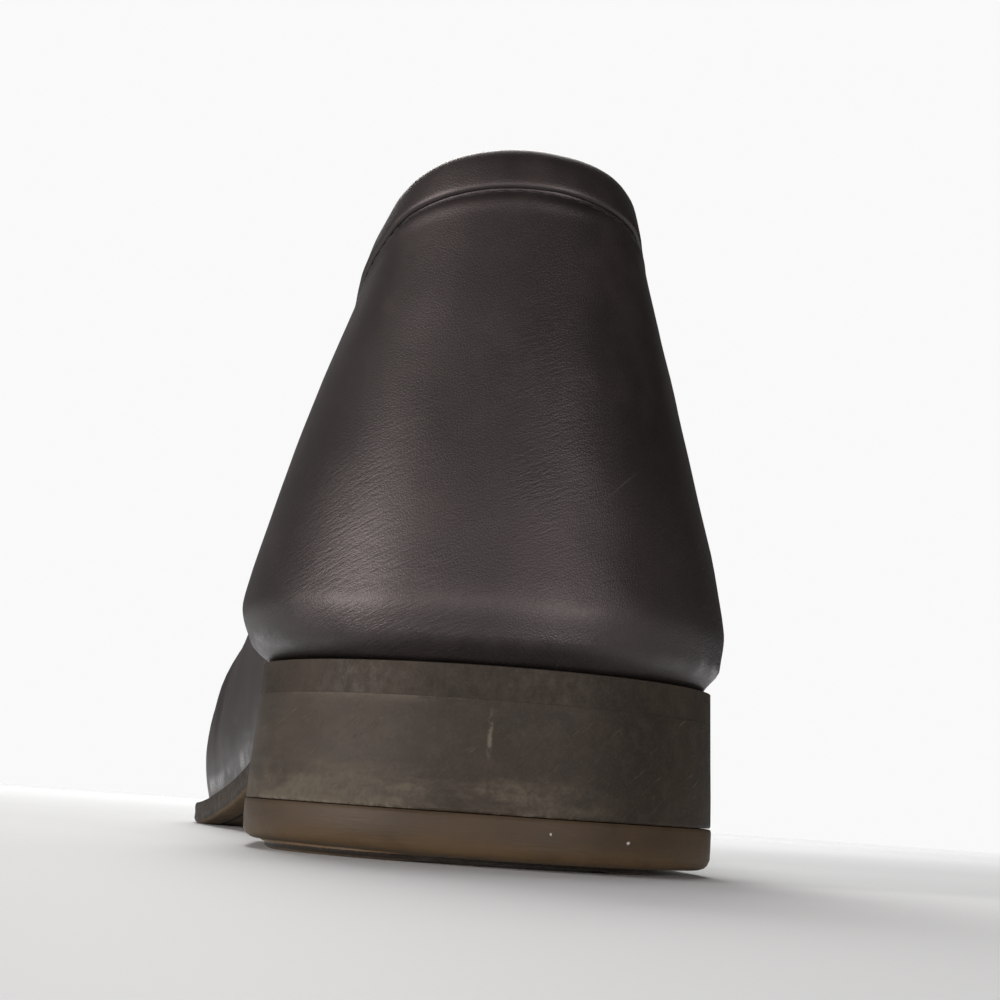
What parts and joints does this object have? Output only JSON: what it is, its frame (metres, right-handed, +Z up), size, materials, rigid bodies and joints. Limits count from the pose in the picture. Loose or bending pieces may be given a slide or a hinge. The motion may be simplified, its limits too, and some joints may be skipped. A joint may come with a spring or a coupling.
{
  "type": "tassel loafer",
  "caption": "Slip-on leather dress shoe with a hollow upper, leather outsole, stacked heel with a nailed kidney-shaped tap, and a lace tied in tassels",
  "frame": {"origin": "on the floor under the middle of the shoe's box", "axes": "+Y towards the toe, +X towards the medial (big toe) side, +Z up, sole on Z = 0"},
  "size_m": [0.1028, 0.3046, 0.1003],
  "materials": {
    "black_calf": "worn black smooth calf with a soft satin sheen",
    "insole_leather": "plain tan lining leather",
    "sole_leather": "dark stained leather sole, dull",
    "heel_leather": "black inked stacked leather, scuffed and matte",
    "heel_rubber": "dull brown-black rubber, dusty",
    "tap_rubber": "worn ribbed rubber",
    "nail_brass": "dirty worn brass"
  },
  "bodies": {
    "root": {"upper": "black_calf", "tongue": "black_calf", "insole": "insole_leather", "outsole": "sole_leather", "heel_stack": "heel_leather", "top_lift": "heel_rubber", "heel_tap": "tap_rubber", "heel_nail_1": "nail_brass", "heel_nail_2": "nail_brass", "heel_nail_3": "nail_brass", "lace_bar_lateral": "black_calf", "lace_bar_medial": "black_calf", "lace_knot": "black_calf", "lace_end_lateral": "black_calf", "lace_end_medial": "black_calf", "tassel_lateral": "black_calf", "tassel_medial": "black_calf"}
  },
  "joints": []
}
